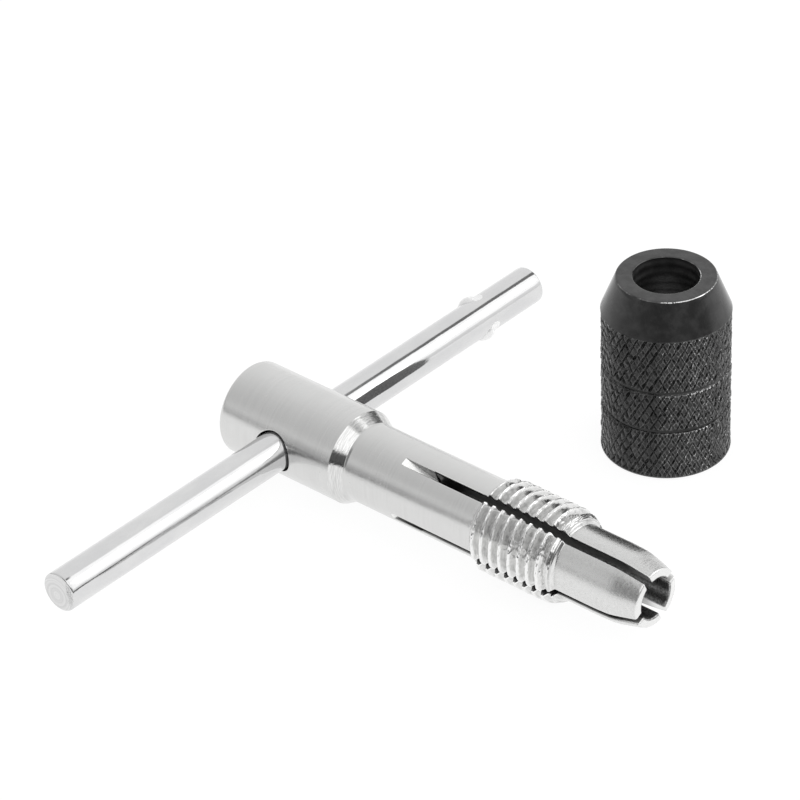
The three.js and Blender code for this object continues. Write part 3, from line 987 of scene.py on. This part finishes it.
# ---- studio ----
def add_camera():
    """A long lens that looks down on the wrench. It aims near where the bar meets the spindle."""
    azimuth = math.radians(CAMERA_AZIMUTH)
    elevation = math.radians(CAMERA_ELEVATION)
    forward = Vector((-math.sin(azimuth) * math.cos(elevation), math.cos(azimuth) * math.cos(elevation),
                      -math.sin(elevation)))
    right = Vector((math.cos(azimuth), math.sin(azimuth), 0))
    up = right.cross(forward)
    aim = Vector((BAR_X, 0, AXIS_Z)) + right * CAMERA_AIM[0] + up * CAMERA_AIM[1]
    data = bpy.data.cameras.new("camera")
    data.lens = CAMERA_LENS
    data.sensor_width = SENSOR_WIDTH
    data.clip_start = 0.01
    data.clip_end = 20
    camera = bpy.data.objects.new("camera", data)
    level = Matrix((right, up, -forward)).transposed()
    roll = Matrix.Rotation(math.radians(CAMERA_ROLL), 3, "Z")
    place = (level @ roll).to_4x4()
    place.translation = (aim - forward * CAMERA_DISTANCE) * MM
    camera.matrix_world = place
    bpy.context.scene.collection.objects.link(camera)
    bpy.context.scene.camera = camera


def add_floor():
    """A wide white floor that gives light of its own, so that shadows on it stay faint."""
    half = FLOOR_HALF_M
    corners = [(-half, -half, 0), (half, -half, 0), (half, half, 0), (-half, half, 0)]
    mesh = bpy.data.meshes.new("floor")
    mesh.from_pydata(corners, [], [(0, 1, 2, 3)])
    floor = bpy.data.objects.new("floor", mesh)
    bpy.context.scene.collection.objects.link(floor)
    material, nodes = start_material("white_floor")
    finish_material(material, nodes, {
        "Base Color": (0.16, 0.16, 0.16, 1), "Roughness": 0.9, "Specular IOR Level": 0.0,
        "Emission Color": (1, 1, 1, 1), "Emission Strength": 0.90})
    mesh.materials.append(material)


def add_world():
    """A pale studio, by direction, with the white boxes and the dark gaps that the steel reflects.
    The camera itself sees one pale grey."""
    world = bpy.data.worlds.new("studio")
    world.use_nodes = True
    bpy.context.scene.world = world
    nodes = Nodes(world.node_tree)
    direction = nodes.add("ShaderNodeTexCoord").outputs["Generated"]
    x, y, z = nodes.add("ShaderNodeSeparateXYZ", {0: direction}).outputs

    def region(*edges):
        """How far a direction is inside all of these smooth edges."""
        inside = 1.0
        for value, outside, within in edges:
            inside = nodes.maths("MULTIPLY", inside, nodes.span(value, outside, within))
        return inside

    aside = nodes.maths("ADD", x, nodes.maths("MULTIPLY", y, 0.36))
    horizon = region((x, 0.1, 0.3), (z, 0.15, 0.12), (z, 0.01, 0.03))
    fading = nodes.span(y, 0.594, 0.610, 1.0, 0.1)
    places = (
        # pale front, low down
        (0.80, region((y, -0.5, -0.8), (z, 0.6, 0.3))),
        # white box at the back right
        (1.40, region((x, 0.13, 0.18), (y, 0.25, 0.45), (z, 0.23, 0.29))),
        # white box over the camera
        (1.40, region((x, 0.16, 0.26), (y, 0.20, 0.05), (z, 0.50, 0.56))),
        # dark gap overhead
        (0.10, region((aside, 0.20, 0.27), (aside, 0.42, 0.35), (y, 0.10, 0.20), (y, 0.53, 0.43),
                      (z, 0.6, 0.7))),
        # dark edge beyond the gap
        (0.08, region((aside, 0.13, 0.20), (aside, 0.400, 0.385), (y, 0.592, 0.606), (z, 0.5, 0.6))),
        # dark place straight behind
        (0.10, region((x, -0.25, -0.12), (x, 0.13, 0.04), (y, 0.80, 0.88), (z, 0.04, 0.12),
                      (z, 0.62, 0.48))),
        # dim front, beside the camera
        (0.24, region((x, -0.35, -0.20), (x, 0.26, 0.18), (y, -0.35, -0.6), (z, 0.85, 0.75))),
        # dim right side
        (0.24, region((x, 0.10, 0.35), (y, 0.34, 0.20), (z, 0.50, 0.40))),
        # dark front right
        (0.10, region((x, 0.05, 0.25), (y, -0.6, -0.75), (z, 0.52, 0.44))),
        # dim front left, near the horizon
        (0.46, region((x, -0.1, -0.35), (y, 0.2, -0.1), (z, 0.30, 0.08), (z, -0.02, 0.05))),
        # thin dark line just over the horizon, weaker at the back
        (0.04, nodes.maths("MULTIPLY", horizon, fading)),
        # white floor
        (1.0, region((z, 0.02, -0.01))),
    )
    colour = nodes.mix(nodes.span(y, -0.75, 0.95), grey(0.66), grey(0.97))
    for level, place in places:
        colour = nodes.mix(place, colour, grey(level))
    seen = nodes.add("ShaderNodeLightPath").outputs["Is Camera Ray"]
    colour = nodes.mix(seen, colour, grey(0.96))
    background = nodes.add("ShaderNodeBackground", {"Color": colour, "Strength": 1.0})
    nodes.add("ShaderNodeOutputWorld", {"Surface": background.outputs[0]})


def add_panel(name, direction, distance, size, radiance):
    """A soft panel light that faces the wrench."""
    data = bpy.data.lights.new(name, "AREA")
    data.shape = "RECTANGLE"
    data.size = size[0]
    data.size_y = size[1]
    data.energy = radiance * math.pi * size[0] * size[1]
    panel = bpy.data.objects.new(name, data)
    away = Vector(direction).normalized()
    panel.rotation_euler = away.to_track_quat("Z", "Y").to_euler()
    panel.location = away * distance
    panel.visible_camera = False
    bpy.context.scene.collection.objects.link(panel)


def add_studio():
    """Camera, floor, world and lights."""
    bpy.context.scene.view_settings.view_transform = "Standard"
    add_camera()
    add_floor()
    add_world()
    add_panel("back_panel", (0.55, 0.60, 0.62), 0.9, (0.35, 0.35), 1.4)


# ---- the wrench ----
def settle(obj, body, node):
    """Says what a piece rides on and stands for."""
    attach(obj, body)
    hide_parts(node)


def build_wrench():
    """All the pieces; the spindle, the bar and the nut on their bodies."""
    steel = satin_steel()
    sawn = sawn_steel()
    bored = bored_steel()
    threaded = threaded_steel()
    nose = nose_steel()
    spindle = build_spindle([steel, sawn, ramp_steel(), turned_steel()])
    face_outwards(spindle)
    settle(spindle, "spindle", "spindle")
    for k in range(JAWS):
        materials = [steel, sawn, bored, threaded, nose]
        jaw = build_jaw(f"collet_jaw_{k + 1}", SLOT_ANGLE + 90 * k, materials)
        face_outwards(jaw)
        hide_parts(f"jaw_{k + 1}")
        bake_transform(jaw)
    settle(build_bar([bar_chrome(), faced_chrome()]), "tommy_bar", "tommy_bar")
    blacks = (("knurled_black", 0.11), ("turned_black", 0.08), ("bored_black", 0.38))
    nut = build_nut([black_oxide(name, dull) for name, dull in blacks])
    face_outwards(nut)
    settle(nut, "chuck_nut", "chuck_nut")


add_studio()
build_wrench()
